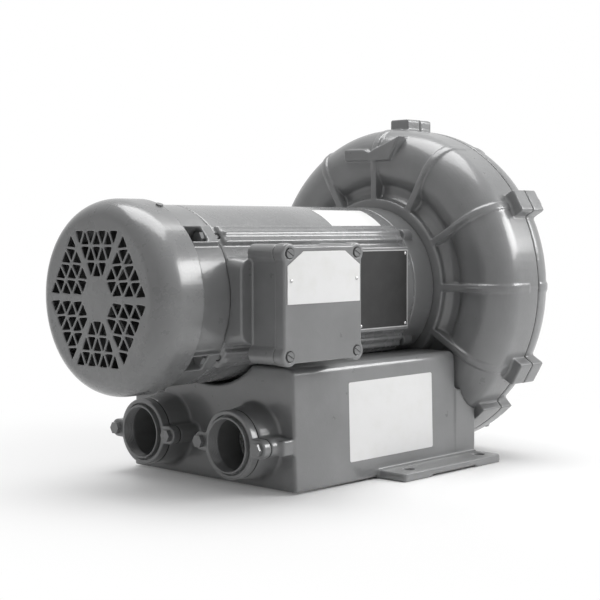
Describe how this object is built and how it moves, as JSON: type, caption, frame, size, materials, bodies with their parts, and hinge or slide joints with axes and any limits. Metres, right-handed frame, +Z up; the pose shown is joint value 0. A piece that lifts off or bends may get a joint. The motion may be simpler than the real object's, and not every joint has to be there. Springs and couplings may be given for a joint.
{
  "type": "side channel blower",
  "caption": "Side channel blower: foot-mounted box manifold with two threaded ports, ring-shaped ribbed casing with a vaned impeller, and a flanged totally enclosed fan-cooled motor.",
  "frame": {"origin": "floor plane, centre of the four foot bolt holes", "axes": "+X along the motor axis from the fan end to the blower end, -Y the side with the conduit box, +Z up"},
  "size_m": [0.5706, 0.405, 0.4304],
  "materials": {
    "grey_enamel": "satin grey enamel over castings",
    "painted_fasteners": "satin grey enamel over steel",
    "gasket_rubber": "matt black",
    "muffler_foam": "open-cell foam",
    "bright_steel": "ground",
    "bearing_cage": "pressed",
    "lamination_steel": "varnished laminations",
    "varnished_copper": "varnished copper windings",
    "cast_aluminium": "as cast, machined on the faces",
    "fan_plastic": "moulded",
    "white_plate": "white lacquer, bare",
    "black_plate": "black lacquer with a bright edge, bare"
  },
  "bodies": {
    "root": {"manifold": "grey_enamel", "manifold_bottom_plate": "grey_enamel", "bottom_plate_gasket": "gasket_rubber", "bottom_plate_screws": "painted_fasteners", "inlet_muffler_foam": "muffler_foam", "outlet_muffler_foam": "muffler_foam", "inlet_flange": "grey_enamel", "outlet_flange": "grey_enamel", "inlet_flange_gasket": "gasket_rubber", "outlet_flange_gasket": "gasket_rubber", "port_flange_bolts": "painted_fasteners", "manifold_gasket": "gasket_rubber", "manifold_bolts": "painted_fasteners", "blower_housing": "grey_enamel", "housing_cover": "grey_enamel", "seam_gasket": "gasket_rubber", "seam_bolts": "painted_fasteners", "shaft_seal": "gasket_rubber", "motor_frame": "grey_enamel", "stator_core": "lamination_steel", "stator_windings": "varnished_copper", "drive_end_shield": "grey_enamel", "fan_end_shield": "grey_enamel", "tie_bolts": "painted_fasteners", "motor_flange_bolts": "painted_fasteners", "bearing_outer_races": "bright_steel", "wave_spring": "bright_steel", "fan_cover": "grey_enamel", "fan_cover_screws": "painted_fasteners", "conduit_box": "grey_enamel", "conduit_box_gasket": "gasket_rubber", "conduit_box_cover": "grey_enamel", "conduit_cover_screws": "painted_fasteners", "cover_plate": "white_plate", "cover_plate_pins": "bright_steel", "name_plate": "black_plate", "name_plate_pins": "bright_steel"},
    "rotor": {"shaft": "bright_steel", "rotor_core": "lamination_steel", "impeller": "cast_aluminium", "impeller_key": "bright_steel", "impeller_washer": "bright_steel", "impeller_bolt": "bright_steel", "cooling_fan": "fan_plastic", "fan_clip": "bright_steel", "bearing_inner_races": "bright_steel"},
    "drive_end_cage_set": {"drive_end_balls": "bright_steel", "drive_end_cage": "bearing_cage"},
    "fan_end_cage_set": {"fan_end_balls": "bright_steel", "fan_end_cage": "bearing_cage"}
  },
  "joints": [
    {"name": "rotor_spin", "type": "hinge", "parent": "root", "child": "rotor", "pos_m": [0, 0, 0.2144], "axis": [1, 0, 0], "continuous": true},
    {"name": "drive_end_balls_roll", "type": "hinge", "parent": "root", "child": "drive_end_cage_set", "pos_m": [0.031, 0, 0.2144], "axis": [1, 0, 0], "continuous": true},
    {"name": "fan_end_balls_roll", "type": "hinge", "parent": "root", "child": "fan_end_cage_set", "pos_m": [-0.3254, 0, 0.2144], "axis": [1, 0, 0], "continuous": true}
  ],
  "couplings": [
    {"joint": "drive_end_balls_roll", "follows": "rotor_spin", "ratio": 0.3987},
    {"joint": "fan_end_balls_roll", "follows": "rotor_spin", "ratio": 0.3987}
  ]
}
